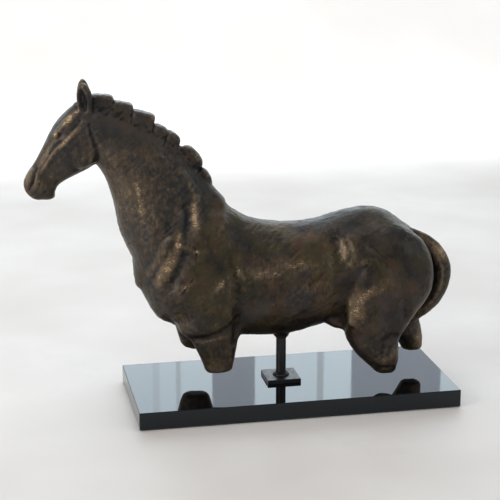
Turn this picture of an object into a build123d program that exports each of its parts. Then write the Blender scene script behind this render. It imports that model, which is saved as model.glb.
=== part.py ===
"""Bronze horse torso on a steel post and a polished stone slab.

Row frame: +Z up, origin at the centre of the resting face, X along the slab, the horse's head
towards -X and its left side towards -Y.  The horse is drawn in a frame of its own, with the post's
axis at x = y = 0, and is then turned by HEADING about the post.  All sizes are millimetres.
"""
from build123d import *
import os

# ---- driving dimensions -------------------------------------------------------------------
SLAB_LENGTH = 406.0
SLAB_WIDTH = 178.0
SLAB_THICKNESS = 22.0
FELT_THICKNESS = 1.0
SLAB_TOP = FELT_THICKNESS + SLAB_THICKNESS
SLAB_ARRIS = 0.8

POST_X = -9.0                      # the post stands a little off the middle of the slab
HEADING = 4.0                      # degrees that the head is turned away from the slab's long edge
POST_RADIUS = 6.35
SHOULDER_Z = 78.0                  # top of the full-size post, where the boss rests
SPIGOT_RADIUS = 4.76
SPIGOT_LENGTH = 34.0

PLATE_SIDE = 43.0
PLATE_THICKNESS = 5.0
PLATE_TOP = SLAB_TOP + PLATE_THICKNESS
WELD_RADIUS = 10.6
WELD_HEIGHT = 4.0

BOLT_RADIUS = 4.0                  # M8 socket screw from below, through the slab into the post
BOLT_HEAD_RADIUS = 6.5
BOLT_HEAD_HEIGHT = 8.0
BOLT_HEX_ACROSS_FLATS = 6.0
BOLT_REACH = 16.0                  # thread engaged in the post
COUNTERBORE_RADIUS = 13.0
COUNTERBORE_DEPTH = 12.0
WASHER_RADIUS = 12.0
WASHER_THICKNESS = 1.6
LOCK_WASHER_RADIUS = 7.4
LOCK_WASHER_THICKNESS = 2.0

WALL = 4.5                         # thickness of the cast bronze skin
RUNNING_CLEARANCE = 0.05           # radial gap of the spigot and of the threads
BOSS_RADIUS = 14.0
BOSS_LIP_RADIUS = 7.2
BOSS_FLARE_Z = 88.0
BOSS_TOP_Z = 124.0
SET_SCREW_RADIUS = 2.0
SET_SCREW_Z = 84.5

# ---- the horse's stations, in its own frame -----------------------------------------------
# Barrel and quarters: x, underline z, topline z, half width.
BARREL = [
    (-178, 148, 178, 15),
    (-167, 128, 206, 35),
    (-147, 104, 234, 48),
    (-122, 91, 254, 53),
    (-96, 87, 262, 55),
    (-70, 85, 253, 55),
    (-45, 84, 236, 55),
    (-15, 83, 229, 57),
    (15, 85, 229, 58),
    (45, 93, 233, 57),
    (72, 100, 241, 57),
    (100, 103, 245, 58),
    (126, 106, 240, 59),
    (147, 108, 229, 55),
    (165, 112, 213, 46),
    (177, 122, 198, 35),
    (184, 140, 182, 20),
]
# Neck: crest point (x, z), underside point (x, z), half width.
NECK = [
    ((-238, 382), (-230, 312), 19),
    ((-205, 377), (-218, 294), 23),
    ((-172, 357), (-211, 268), 27),
    ((-142, 336), (-207, 242), 33),
    ((-116, 305), (-196, 214), 41),
    ((-92, 272), (-183, 180), 49),
    ((-72, 236), (-160, 146), 49),
]
# Head: face point (x, z), jaw point (x, z), half width.
HEAD = [
    ((-228, 384), (-219, 322), 17),
    ((-246, 382), (-231, 309), 22),
    ((-261, 374), (-241, 304), 23),
    ((-276, 356), (-256, 297), 21),
    ((-288, 338), (-267, 288), 18),
    ((-299, 320), (-275, 281), 16),
    ((-308, 306), (-279, 272), 15.5),
    ((-315, 292), (-285, 265), 14.5),
    ((-315, 278), (-297, 262), 10),
]
# Legs, cut off above the knee and hock: z, x, y, half length, half width.  y is to the outside.
NEAR_FORE = [
    (148, -106, 24, 38, 26),
    (124, -99, 29, 37, 24),
    (100, -92, 33, 33, 21),
    (76, -87, 36, 25, 17.5),
    (52, -83.5, 36, 15, 13),
]
OFF_FORE = [
    (151, -112, 26, 36, 26),
    (127, -109, 32, 33, 24),
    (103, -106, 38, 29, 21),
    (79, -106, 43, 24, 18),
    (55, -106, 46, 15, 13),
]
NEAR_HIND = [
    (180, 130, 22, 38, 26),
    (156, 132, 29, 47, 28),
    (132, 127, 33, 48, 27),
    (108, 117, 36, 43, 25),
    (84, 116, 37, 34, 21),
    (61, 123, 38, 23, 17),
    (40, 129, 38, 11, 10),
]
OFF_HIND = [
    (179, 134, 22, 38, 26),
    (152, 138, 29, 44, 28),
    (125, 142, 32, 40, 26),
    (98, 154, 31, 31, 21),
    (71, 171, 29, 19, 16),
    (44, 177, 28, 14, 12),
]
# Tail: x, y, z on its centreline, half depth, half width.
TAIL = [
    (150, 0, 214, 8, 8),
    (170, 0, 203, 10, 9),
    (190, 0, 189, 13, 12),
    (202, 1, 169, 16, 14),
    (204, 3, 148, 16.5, 14),
    (198, 7, 126, 14.5, 13),
    (184, 12, 107, 11.5, 11),
    (168, 17, 93, 9, 9),
]
# Mane, a ridge that leans to the off side: x, y, z, half depth, half width.
MANE = [
    (-228, 0, 381, 8, 9),
    (-208, 1, 377, 11, 11),
    (-187, 3, 367, 11, 11),
    (-166, 4, 354, 11, 11),
    (-145, 5, 338, 11, 10),
    (-125, 6, 318, 11, 10),
    (-108, 6, 297, 10.5, 10),
    (-95, 4, 275, 8, 8),
]
# Ear: x, y, z from root to tip, half length along x, half thickness along y.
EAR = [
    (-238, 9, 366, 9, 6),
    (-239, 13, 378, 9.5, 6.5),
    (-240, 16, 389, 8.5, 5.5),
    (-241, 18, 399, 6, 4),
    (-242, 19, 406, 3, 2.2),
]


# ---- helpers ------------------------------------------------------------------------------
def oval(centre, up, along, half_up, half_side):
    """An ellipse in the plane across `along`, with half_up measured along `up`."""
    return Plane(origin=centre, x_dir=up, z_dir=along) * Ellipse(half_up, half_side)


def round_end(shape, axis, radius):
    """Round the rim of the loft's last flat face, the one furthest along the axis."""
    return fillet(shape.edges().sort_by(axis)[-1], radius)


def barrel(inset=0.0):
    """The trunk as a loft of upright ovals; an inset gives the cavity inside it."""
    stations = BARREL[1:-1] if inset else BARREL
    trunk = loft([oval((x, 0, (low + high) / 2), (0, 0, 1), (1, 0, 0),
                       (high - low) / 2 - inset, half_width - inset)
                  for x, low, high, half_width in stations])
    return trunk if inset else round_end(trunk, -Axis.X, 7)


def wedge(stations, inset=0.0, skip_last=0):
    """Neck or head: a loft of ovals, each spanned by an upper and a lower profile point."""
    ovals = []
    for upper, lower, half_width in stations[: len(stations) - skip_last]:
        dx, dz = upper[0] - lower[0], upper[1] - lower[1]
        half_depth = (dx * dx + dz * dz) ** 0.5 / 2
        centre = ((upper[0] + lower[0]) / 2, 0, (upper[1] + lower[1]) / 2)
        ovals.append(oval(centre, (dx, 0, dz), (dz, 0, -dx), half_depth - inset, half_width - inset))
    return loft(ovals)


def leg(stations, side, inset=0.0, skip_last=0):
    """A leg stump as a loft of level ovals; side is -1 for the left of the horse."""
    ovals = [oval((x, side * y, z), (1, 0, 0), (0, 0, -1), half_x - inset, half_y - inset)
             for z, x, y, half_x, half_y in stations[: len(stations) - skip_last]]
    return loft(ovals)


def rope(stations, inset=0.0):
    """Tail or mane: ovals square to a centreline through the stations."""
    ovals = []
    for i, (x, y, z, half_depth, half_width) in enumerate(stations):
        before = stations[max(i - 1, 0)]
        after = stations[min(i + 1, len(stations) - 1)]
        along = Vector(after[0] - before[0], after[1] - before[1], after[2] - before[2]).normalized()
        up = Vector(0, 1, 0).cross(along).normalized()
        ovals.append(oval((x, y, z), up, along, half_depth - inset, half_width - inset))
    return loft(ovals)


def ear(side):
    """A solid leaf-shaped ear."""
    leaf = loft([oval((x, side * y, z), (1, 0, 0), (0, 0, 1), half_x, half_y)
                 for x, y, z, half_x, half_y in EAR])
    return round_end(leaf, Axis.Z, 2)


def ring(outer, inner, low, high, x=0.0):
    """A plain washer or sleeve standing on level `low`."""
    disc = Pos(x, 0, (low + high) / 2) * Cylinder(outer, high - low)
    return disc - Pos(x, 0, (low + high) / 2) * Cylinder(inner, high - low + 1)


def largest(shape):
    """The biggest solid of a boolean's result."""
    return max(shape.solids(), key=lambda solid: solid.volume)


# ---- stand --------------------------------------------------------------------------------
def base_slab():
    slab = Pos(0, 0, FELT_THICKNESS + SLAB_THICKNESS / 2) * Box(SLAB_LENGTH, SLAB_WIDTH, SLAB_THICKNESS)
    slab = chamfer(slab.edges(), SLAB_ARRIS)
    counterbore = Pos(POST_X, 0, FELT_THICKNESS + COUNTERBORE_DEPTH / 2)
    slab -= counterbore * Cylinder(COUNTERBORE_RADIUS, COUNTERBORE_DEPTH)
    return slab - Pos(POST_X, 0, SLAB_TOP - 5) * Cylinder(BOLT_RADIUS + 0.5, SLAB_THICKNESS)


def felt_sheet():
    margin = 3.0
    sheet = Pos(0, 0, FELT_THICKNESS / 2) * Box(SLAB_LENGTH - 2 * margin, SLAB_WIDTH - 2 * margin,
                                               FELT_THICKNESS)
    return fillet(sheet.edges().filter_by(Axis.Z), 4.0)


def foot_plate():
    plate = Pos(POST_X, 0, SLAB_TOP + PLATE_THICKNESS / 2) * Box(PLATE_SIDE, PLATE_SIDE, PLATE_THICKNESS)
    plate = chamfer(plate.edges().group_by(Axis.Z)[-1], 0.5)
    return plate - Pos(POST_X, 0, SLAB_TOP) * Cylinder(POST_RADIUS + 0.05, 4 * PLATE_THICKNESS)


def support_post():
    post = Pos(POST_X, 0, (SLAB_TOP + SHOULDER_Z) / 2) * Cylinder(POST_RADIUS, SHOULDER_Z - SLAB_TOP)
    spigot = Pos(POST_X, 0, SHOULDER_Z + SPIGOT_LENGTH / 2) * Cylinder(SPIGOT_RADIUS, SPIGOT_LENGTH)
    spigot = chamfer(spigot.edges().group_by(Axis.Z)[-1], 0.8)
    tapped = BOLT_REACH + 3
    return post + spigot - Pos(POST_X, 0, SLAB_TOP + tapped / 2) * Cylinder(
        BOLT_RADIUS + RUNNING_CLEARANCE, tapped)


def weld_bead():
    """The fillet weld round the foot of the post."""
    inner = POST_RADIUS + 0.05
    outline = Polyline((inner, PLATE_TOP), (WELD_RADIUS, PLATE_TOP)) \
        + RadiusArc((WELD_RADIUS, PLATE_TOP), (inner, PLATE_TOP + WELD_HEIGHT), -7.0) \
        + Polyline((inner, PLATE_TOP + WELD_HEIGHT), (inner, PLATE_TOP))
    return Pos(POST_X, 0, 0) * revolve(Plane.XZ * make_face(outline), Axis.Z)


def base_bolt():
    seat = SLAB_TOP - (SLAB_THICKNESS - COUNTERBORE_DEPTH) - WASHER_THICKNESS - LOCK_WASHER_THICKNESS
    tip = SLAB_TOP + BOLT_REACH
    head = Pos(POST_X, 0, seat - BOLT_HEAD_HEIGHT / 2) * Cylinder(BOLT_HEAD_RADIUS, BOLT_HEAD_HEIGHT)
    head = chamfer(head.edges().group_by(Axis.Z)[0], 0.6)
    shank = Pos(POST_X, 0, (seat + tip) / 2) * Cylinder(BOLT_RADIUS, tip - seat)
    key = extrude(Pos(POST_X, 0, seat - BOLT_HEAD_HEIGHT)
                  * RegularPolygon(BOLT_HEX_ACROSS_FLATS / 2, 6, major_radius=False), 4.5)
    return head + chamfer(shank.edges().group_by(Axis.Z)[-1], 0.8) - key


def flat_washer():
    top = FELT_THICKNESS + COUNTERBORE_DEPTH
    return ring(WASHER_RADIUS, BOLT_RADIUS + 0.2, top - WASHER_THICKNESS, top, POST_X)


def lock_washer():
    """A split spring washer, closed up flat by the bolt."""
    top = FELT_THICKNESS + COUNTERBORE_DEPTH - WASHER_THICKNESS
    washer = ring(LOCK_WASHER_RADIUS, BOLT_RADIUS + 0.1, top - LOCK_WASHER_THICKNESS, top, POST_X)
    slit = Pos(POST_X + LOCK_WASHER_RADIUS, 0, top) * Rot(20, 0, 0) * Box(
        LOCK_WASHER_RADIUS * 1.2, 0.8, 4 * LOCK_WASHER_THICKNESS)
    return washer - slit


# ---- horse --------------------------------------------------------------------------------
def belly_boss():
    """The socket cast into the belly: a blind bore for the spigot, flared into the skin."""
    profile = Polyline((0, SHOULDER_Z), (BOSS_LIP_RADIUS, SHOULDER_Z)) \
        + Spline((BOSS_LIP_RADIUS, SHOULDER_Z), (BOSS_LIP_RADIUS + 1.6, SHOULDER_Z + 5.0),
                 (BOSS_RADIUS, BOSS_FLARE_Z)) \
        + Polyline((BOSS_RADIUS, BOSS_FLARE_Z), (BOSS_RADIUS, BOSS_TOP_Z), (0, BOSS_TOP_Z),
                   (0, SHOULDER_Z))
    boss = revolve(Plane.XZ * make_face(profile), Axis.Z)
    bore_depth = SPIGOT_LENGTH + 2
    boss -= Pos(0, 0, SHOULDER_Z + bore_depth / 2) * Cylinder(
        SPIGOT_RADIUS + RUNNING_CLEARANCE, bore_depth)
    return boss - screw_hole()


def screw_hole():
    return Pos(0, BOSS_RADIUS / 2 + 1, SET_SCREW_Z) * Rot(90, 0, 0) * Cylinder(
        SET_SCREW_RADIUS + RUNNING_CLEARANCE, BOSS_RADIUS + 2)


def set_screw():
    """The cup-point screw on the off side that nips the spigot."""
    tip, tail = SPIGOT_RADIUS + 0.15, 9.6
    screw = Pos(0, (tip + tail) / 2, SET_SCREW_Z) * Rot(90, 0, 0) * Cylinder(SET_SCREW_RADIUS, tail - tip)
    socket = Pos(0, tail - 0.8, SET_SCREW_Z) * Rot(-90, 0, 0) * extrude(
        RegularPolygon(1.0, 6, major_radius=False), 2.0)
    return screw - socket


def horse():
    """Every casting of the horse by name, in the horse's own frame."""
    trunk, trunk_core = barrel(), barrel(WALL)
    neck, neck_core = wedge(NECK), wedge(NECK, WALL)
    head, head_core = wedge(HEAD), wedge(HEAD, WALL, skip_last=1)
    head = round_end(head, -Axis.X, 8)
    mane, tail = rope(MANE), round_end(rope(TAIL), -Axis.Z, 5)
    legs = {
        "foreleg_left": (NEAR_FORE, -1),
        "foreleg_right": (OFF_FORE, 1),
        "hindleg_left": (NEAR_HIND, -1),
        "hindleg_right": (OFF_HIND, 1),
    }
    hole_for_boss = Pos(0, 0, (SHOULDER_Z + BOSS_TOP_Z) / 2) * Cylinder(
        BOSS_RADIUS, BOSS_TOP_Z - SHOULDER_Z)
    pieces = {}
    trunk_skin = trunk - trunk_core - neck_core - hole_for_boss
    for name, (stations, side) in legs.items():
        core = leg(stations, side, WALL, skip_last=2)
        pieces[name] = largest(round_end(leg(stations, side), -Axis.Z, 6) - core - trunk)
        trunk_skin -= core
    pieces["torso_casting"] = largest(trunk_skin)
    pieces["neck_casting"] = largest(neck - neck_core - trunk - head_core)
    pieces["head_casting"] = largest(head - head_core - neck)
    pieces["mane_casting"] = largest(mane - neck - trunk - head)
    pieces["tail_casting"] = largest(tail - trunk - pieces["hindleg_left"] - pieces["hindleg_right"])
    for name, side in (("ear_left", -1), ("ear_right", 1)):
        pieces[name] = largest(ear(side) - head - neck - mane)
    pieces["belly_boss"] = belly_boss()
    pieces["set_screw"] = set_screw()
    return pieces


def main():
    os.makedirs("parts", exist_ok=True)
    for makes in (base_slab, felt_sheet, foot_plate, support_post, weld_bead, base_bolt,
                  flat_washer, lock_washer):
        export_step(makes(), f"parts/{makes.__name__}.step")
    place = Pos(POST_X, 0, 0) * Rot(0, 0, -HEADING)
    for name, piece in horse().items():
        export_step(place * piece, f"parts/{name}.step")


main()
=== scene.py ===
"""Bronze horse torso on a steel post over a polished stone slab: the look.

The horse is modelled like clay: smooth lofts and muscles are summed into one distance field, the
field is turned into a mesh, the surface is tooled, and the mesh is parted along the lines where
the castings meet.  Sizes in the sculpting code are millimetres in the horse's own frame, which has
the post's axis at x = y = 0, the head towards -x, the horse's left side towards -y and z up from
the table.
"""
from itertools import product
from math import cos, pi, radians, sin

import bpy
import numpy as np
import openvdb
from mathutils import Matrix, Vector


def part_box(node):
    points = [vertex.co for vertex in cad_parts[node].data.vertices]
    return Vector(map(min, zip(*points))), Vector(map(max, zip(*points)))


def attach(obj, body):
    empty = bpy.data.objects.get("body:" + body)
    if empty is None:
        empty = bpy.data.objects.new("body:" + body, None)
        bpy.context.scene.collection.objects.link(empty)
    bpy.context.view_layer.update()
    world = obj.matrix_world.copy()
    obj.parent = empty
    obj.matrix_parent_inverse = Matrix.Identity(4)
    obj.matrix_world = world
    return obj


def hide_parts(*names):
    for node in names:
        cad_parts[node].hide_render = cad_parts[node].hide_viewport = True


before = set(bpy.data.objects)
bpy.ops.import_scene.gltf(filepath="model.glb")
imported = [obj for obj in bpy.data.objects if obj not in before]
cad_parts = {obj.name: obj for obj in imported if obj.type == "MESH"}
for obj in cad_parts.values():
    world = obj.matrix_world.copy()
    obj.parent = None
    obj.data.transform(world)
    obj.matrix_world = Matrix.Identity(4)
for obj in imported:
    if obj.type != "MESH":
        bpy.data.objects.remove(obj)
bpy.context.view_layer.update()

HEADING = radians(4.0)             # the horse's heading about the post
POST_X = -9.0                      # mm, post axis in the row frame
VOXEL = 1.4
CLAY_LOW = (-330, -80, 26)
CLAY_HIGH = (230, 80, 418)
FAR = 60.0
STUMP_POWER = 2.2                  # how square the stumps' sections are: 2 is an ellipse
BOSS_LIP_Z = 78.0                  # where the belly's socket rests on the post
LID_DEPTH = 5.0                    # how far in a piece's rim is walled before it is capped
LID_SHARE = 0.25                   # and the most that is of a small rim's size
CLEAR = 5.0                        # a level that parts nothing off


# ---- distance fields
def smooth_min(a, b, k):
    h = np.clip(0.5 + 0.5 * (b - a) / k, 0, 1)
    return b + (a - b) * h - k * h * (1 - h)


def smooth_max(a, b, k):
    return -smooth_min(-a, -b, k)


def rounded(parts, radii, power):
    """Distance from a superellipsoid; parts are the offsets from its middle over its radii."""
    f = (sum(part ** power for part in parts) + 1e-9) ** (1 / power)
    slope = sum(((part / f) ** (power - 1) / radius) ** 2 for part, radius in zip(parts, radii))
    return (f - 1) / np.maximum(np.sqrt(slope), 1e-4)


def spline(rows, count):
    """Catmull-Rom through rows of numbers, as `count` rows evenly spaced in the parameter."""
    rows = np.array(rows, float)
    ends = np.vstack([2 * rows[0] - rows[1], rows, 2 * rows[-1] - rows[-2]])
    t = np.linspace(0, len(rows) - 1, count)
    i = np.minimum(t.astype(int), len(rows) - 2)
    u = (t - i)[:, None]
    a, b, c, d = (ends[i + n] for n in range(4))
    return 0.5 * (2 * b + (c - a) * u + (2 * a - 5 * b + 4 * c - d) * u ** 2
                  + (3 * b - a - 3 * c + d) * u ** 3)


def fan(rows, power, count=90):
    """A solid of slanted sections across the middle plane.

    Each row is upper x, upper z, lower x, lower z, half width, and how much narrower the section
    is above its middle than below it.
    """
    ux, uz, lx, lz, wide, egg = spline(rows, count).T
    length = np.hypot(ux - lx, uz - lz)
    middle = count // 2
    inward = np.sign((ux[middle] - lx[0]) * (uz[0] - lz[0])
                     - (uz[middle] - lz[0]) * (ux[0] - lx[0]))

    def field(x, y, z):
        px, pz = np.broadcast_arrays(x, z)
        shape = px.shape
        px, pz = px.reshape(-1), pz.reshape(-1)
        side = np.empty((count, px.size), np.float32)
        for j in range(count):
            side[j] = inward / length[j] * (
                (px - lx[j]) * (uz[j] - lz[j]) - (pz - lz[j]) * (ux[j] - lx[j]))
        crossed = (side[1:] < 0) & (side[:-1] >= 0)
        n = np.where(crossed.any(0), crossed.argmax(0), np.where(side[0] > 0, count - 2, 0))
        k = np.arange(px.size)
        a, b = side[n, k], side[n + 1, k]
        u = np.clip(a / np.where(np.abs(a - b) < 1e-6, 1e-6, a - b), 0, 1)
        qx, qz, bx, bz, w, e = (v[n] * (1 - u) + v[n + 1] * u for v in (ux, uz, lx, lz, wide, egg))
        dx, dz = qx - bx, qz - bz
        depth = np.sqrt(dx * dx + dz * dz) / 2
        s = ((px - (qx + bx) / 2) * dx + (pz - (qz + bz) / 2) * dz) / (2 * depth * depth)
        w = w * (1 - e * np.clip(s, -1, 1))
        end = np.maximum(-side[0], side[-1])
        s, w, depth, end = (v.reshape(shape).astype(np.float32) for v in (s, w, depth, end))
        return smooth_max(rounded((np.abs(s), np.abs(y) / w), (depth, w), power), end, 3)

    return field


def column(rows, side, floor, round_foot):
    """An upright solid of level sections.  Each row: z, x, y outwards, half length, half width.

    floor is (z at x = 0, slope of z against x) of the cut-off foot.
    """
    rows = spline(rows, 60)
    rows = rows[np.argsort(rows[:, 0])] * (1, 1, side, 1, 1)

    def field(x, y, z):
        cx, cy, rx, ry = (np.interp(z, rows[:, 0], rows[:, i]) for i in (1, 2, 3, 4))
        d = rounded((np.abs(x - cx) / rx, np.abs(y - cy) / ry), (rx, ry), STUMP_POWER)
        d = smooth_max(d, floor[0] + floor[1] * x - z, round_foot)
        return smooth_max(d, z - rows[-1, 0], 8)

    return field


def cos_sin(degrees):
    return cos(radians(degrees)), sin(radians(degrees))


def blob(centre, radii, tilt=0.0, yaw=0.0, power=2.0):
    """An ellipsoid; tilt turns its x axis up towards +z, yaw then turns it towards +y."""
    (ct, st), (cy, sy) = cos_sin(tilt), cos_sin(yaw)

    def field(x, y, z):
        dx, dy, dz = x - centre[0], y - centre[1], z - centre[2]
        dx, dy = dx * cy + dy * sy, dy * cy - dx * sy
        dx, dz = dx * ct + dz * st, dz * ct - dx * st
        return rounded([np.abs(d) / radius for d, radius in zip((dx, dy, dz), radii)], radii, power)

    field.reach = max(radii)
    field.spots = [centre]
    return field


def rope(rows, per_span=4):
    """A round rope through rows of x, y, z, radius."""
    dense = spline(rows, (len(rows) - 1) * per_span + 1)

    def field(x, y, z):
        best = None
        for p, q in zip(dense[:-1], dense[1:]):
            span = q[:3] - p[:3]
            t = ((x - p[0]) * span[0] + (y - p[1]) * span[1] + (z - p[2]) * span[2]) / (span @ span)
            t = np.clip(t, 0, 1)
            d = np.sqrt((x - p[0] - t * span[0]) ** 2 + (y - p[1] - t * span[1]) ** 2
                        + (z - p[2] - t * span[2]) ** 2) - (p[3] + t * (q[3] - p[3]))
            best = d if best is None else np.minimum(best, d)
        return best

    field.reach = max(row[3] for row in rows)
    field.spots = [row[:3] for row in dense]
    return field


class Clay:
    """A block of clay as a grid of distances that shapes are added to and cut from."""

    def __init__(self, low, high, step):
        self.axes = [np.arange(a, b, step, dtype=np.float32) for a, b in zip(low, high)]
        self.low, self.step = np.array(low, float), step
        self.f = np.full([len(a) for a in self.axes], FAR, np.float32)

    def window(self, low, high):
        """The slices between two corners, and the coordinates in them."""
        span = [slice(int(np.searchsorted(a, lo)), int(np.searchsorted(a, hi)))
                for a, lo, hi in zip(self.axes, low, high)]
        x, y, z = (a[s] for a, s in zip(self.axes, span))
        return tuple(span), (x[:, None, None], y[None, :, None], z[None, None, :])

    def _reach(self, shape, blend):
        spots = np.array(shape.spots)
        room = shape.reach + 3 * blend + 4
        return self.window(spots.min(0) - room, spots.max(0) + room)

    def add(self, shape, blend, low=None, high=None):
        span, at = self.window(low, high) if low else self._reach(shape, blend)
        self.f[span] = smooth_min(self.f[span], shape(*at), blend)

    def cut(self, shape, blend):
        span, at = self._reach(shape, blend)
        self.f[span] = smooth_max(self.f[span], -shape(*at), blend)

    def _column(self, x, z):
        """The distances across the horse at x, z."""
        i, k = (int(round((v - self.low[n]) / self.step)) for v, n in ((x, 0), (z, 2)))
        return self.f[i, :, k]

    def skin(self, side, x, z):
        """How far out from the middle plane the clay's side is at x, z."""
        across = self._column(x, z)
        inside = np.flatnonzero(across < 0)
        j = inside.max() if side > 0 else inside.min()
        a, b = across[j], across[j + side]
        return side * float(self.axes[1][j]) + self.step * float(a / (a - b))

    def covers(self, x, z):
        return bool((self._column(x, z) < 0).any())

    def on(self, side, x, z, out):
        """The point `out` mm outside the skin at x, z."""
        return x, side * (self.skin(side, x, z) + out), z

    def muscle(self, side, blend, centre, radii, tilt, yaw=0.0):
        """An ellipsoid added on one side; its middle's y and its yaw are counted outwards."""
        x, y, z = centre
        self.add(blob((x, side * y, z), radii, tilt, side * yaw), blend)

    def ridge(self, side, blend, *rows):
        """A rope laid on one side; rows of x, z, radius and how far it stands out."""
        self.add(rope([(*self.on(side, x, z, out - r), r) for x, z, r, out in rows]), blend)

    def groove(self, side, blend, *rows):
        """A rope-shaped cut in one side; rows of x, z, radius and depth."""
        self.cut(rope([(*self.on(side, x, z, r - deep), r) for x, z, r, deep in rows]), blend)

    def work(self, side, steps):
        """Every step of a table on one side, in the table's order."""
        kinds = {"muscle": self.muscle, "ridge": self.ridge, "groove": self.groove}
        for kind, *values in steps:
            kinds[kind](side, *values)

    def mesh(self):
        grid = openvdb.FloatGrid(3 * self.step)
        grid.copyFromArray(np.clip(self.f, -3 * self.step, 3 * self.step))
        points, quads = grid.convertToQuads()
        return np.array(points, float) * self.step + self.low, np.array(quads, int)


# ---- the horse's forms
# Each trunk section is upright: x, underline z, topline z, half width, egg.
TRUNK_SECTIONS = [
    (-178, 156, 178, 9, 0), (-174, 143, 193, 25, 0), (-166, 130, 209, 36, 0),
    (-150, 112, 231, 45, 0.05), (-129, 98, 250, 50, 0.15), (-104, 90, 262, 52, 0.2),
    (-82, 87, 262, 52.5, 0.2), (-62, 86.5, 249, 53, 0.12), (-42, 86, 236, 54.5, 0.05),
    (-15, 85.5, 230, 57, 0), (15, 88, 229, 58, 0), (42, 95, 232, 56, 0), (64, 101, 238, 54, 0.05),
    (86, 104, 244, 55, 0.1), (108, 105, 246, 57, 0.12), (130, 107, 240, 58, 0.12),
    (150, 110, 228, 52, 0.1), (166, 114, 214, 43, 0.08), (177, 124, 199, 31, 0.05),
    (183, 138, 186, 18, 0), (186, 152, 174, 6, 0),
]
# Neck and head sections lean: upper x, z, lower x, z, half width, egg.
NECK_SECTIONS = [
    (-252, 384, -238, 306, 15, 0.1), (-238, 383, -230, 311, 18.5, 0.2),
    (-222, 380, -223, 302, 20.5, 0.25), (-205, 375, -217, 291, 23, 0.28),
    (-188, 366.5, -212, 276, 26, 0.28), (-174, 359, -208, 260, 28.5, 0.27),
    (-160, 351, -206, 245, 31.5, 0.26), (-145, 342.5, -203, 229, 35, 0.26),
    (-130, 331.5, -196, 212, 39, 0.28), (-116, 317, -188, 194, 43, 0.3),
    (-104, 300, -182, 176, 46, 0.3), (-91, 284, -176, 158, 48, 0.28),
    (-73, 262, -160, 140, 48, 0.25),
]
HEAD_SECTIONS = [
    (-226, 385, -212, 332, 11, 0), (-235, 385.5, -221, 319, 16, 0), (-245, 384, -231, 309.5, 19, 0),
    (-255, 379.5, -241, 303, 20.5, -0.04), (-265, 372, -250, 298.5, 21, -0.06),
    (-274.5, 361.5, -259, 294, 20, -0.06), (-282, 350, -267, 289.5, 18, 0),
    (-288.5, 338, -272.5, 286, 16.2, 0.06), (-295, 326, -276, 282, 14.8, 0.1),
    (-301.5, 314.5, -278, 277.5, 14, 0.1), (-308, 304.5, -280.5, 273, 13.8, 0.08),
    (-313.5, 296.5, -285, 269.5, 13.4, 0.06), (-316.5, 287.5, -291, 267.5, 12, 0.04),
    (-315, 278.5, -299, 266.5, 9, 0), (-310.5, 271.5, -305, 267.5, 3.5, 0),
]
# Each stump section is level: z, x, y outwards, half length, half width.
NEAR_FORE = [
    (172, -112, 22, 26, 18), (148, -104, 27, 34, 22), (124, -97, 31, 35.5, 22.5),
    (102, -91, 34, 32.5, 20.5), (84, -88, 35.5, 27, 18), (66, -85.5, 36.5, 20.5, 16),
    (48, -83.5, 37, 15.5, 13.5), (38, -82.5, 37, 13, 12),
]
OFF_FORE = [
    (172, -116, 22, 26, 18), (148, -112, 28, 33, 22), (124, -109, 34, 33, 22),
    (102, -107, 39, 29, 20), (80, -106, 43, 24, 17.5), (62, -105.5, 45, 18.5, 14.5),
    (46, -105, 46, 13, 12),
]
NEAR_HIND = [
    (205, 136, 20, 34, 20), (180, 134, 26, 45, 26), (156, 132, 30, 49, 27.5),
    (132, 126, 33, 48.5, 26.5), (110, 118, 36, 43.5, 24.5), (90, 112, 37, 36, 21.5),
    (72, 114, 38, 28.5, 19), (58, 121, 38, 22.5, 16.5), (46, 126, 38, 15.5, 12.5),
    (38, 128, 38, 10, 9.5),
]
OFF_HIND = [
    (205, 138, 20, 34, 20), (180, 137, 26, 43, 26), (154, 139, 30, 44, 27), (128, 143, 32, 39, 25),
    (104, 152, 31, 31, 21.5), (84, 164, 30, 23, 18), (66, 173, 29, 18, 15),
    (52, 177, 28, 14.5, 12.5), (40, 178, 28, 12, 10),
]
# Tail: x, y, z, radius down the middle of the dock.
TAIL_LINE = [
    (152, 0, 212, 9), (168, 0, 205, 10), (184, 0, 195, 11.5), (197, 0, 181, 13.5),
    (204, 1, 163, 15), (204, 3, 145, 15), (199, 6, 127, 13.5), (189, 10, 111, 11.5),
    (177, 15, 98, 9.5), (168, 19, 90, 8),
]
# The mane's locks, poll to withers: x, z, tilt, half length, half height, half width, squareness.
TUFTS = [
    (-219.5, 385.0, -2, 14.5, 8.5, 11.0, 4.0),
    (-196.5, 375.5, -13, 14.5, 9.0, 11.5, 4.0),
    (-172.0, 363.0, -15, 16.0, 9.0, 12.0, 4.0),
    (-152.5, 345.5, -26, 11.0, 9.5, 12.0, 2.8),
    (-137.0, 335.5, -34, 12.5, 10.0, 12.0, 2.6),
    (-113.5, 313.0, -50, 18.0, 11.5, 12.0, 2.5),
    (-98.0, 287.5, -63, 14.0, 9.0, 10.0, 2.4),
]
# The ridge of hair that the locks stand on: x, y, z, radius.
MANE_RIDGE = [
    (-232, 0, 379, 8), (-205, 1, 371, 10), (-172, 1.5, 354, 11), (-148, 2, 335, 10.5),
    (-127, 2.5, 316, 10), (-112, 2.5, 298, 9.5), (-98, 2, 278, 7.5), (-84, 2, 262, 5),
]
MANE_Y = 2.5


def mane_field(x, y, z):
    best = rope(MANE_RIDGE, 3)(x, y, z)
    for cx, cz, tilt, half_length, half_height, half_width, power in TUFTS:
        lock = blob((cx, MANE_Y, cz), (half_length, half_width, half_height), tilt, 0, power)
        best = smooth_min(best, lock(x, y, z), 0.8)
    return best


mane_field.reach = 20
mane_field.spots = [row[:3] for row in MANE_RIDGE]


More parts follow.
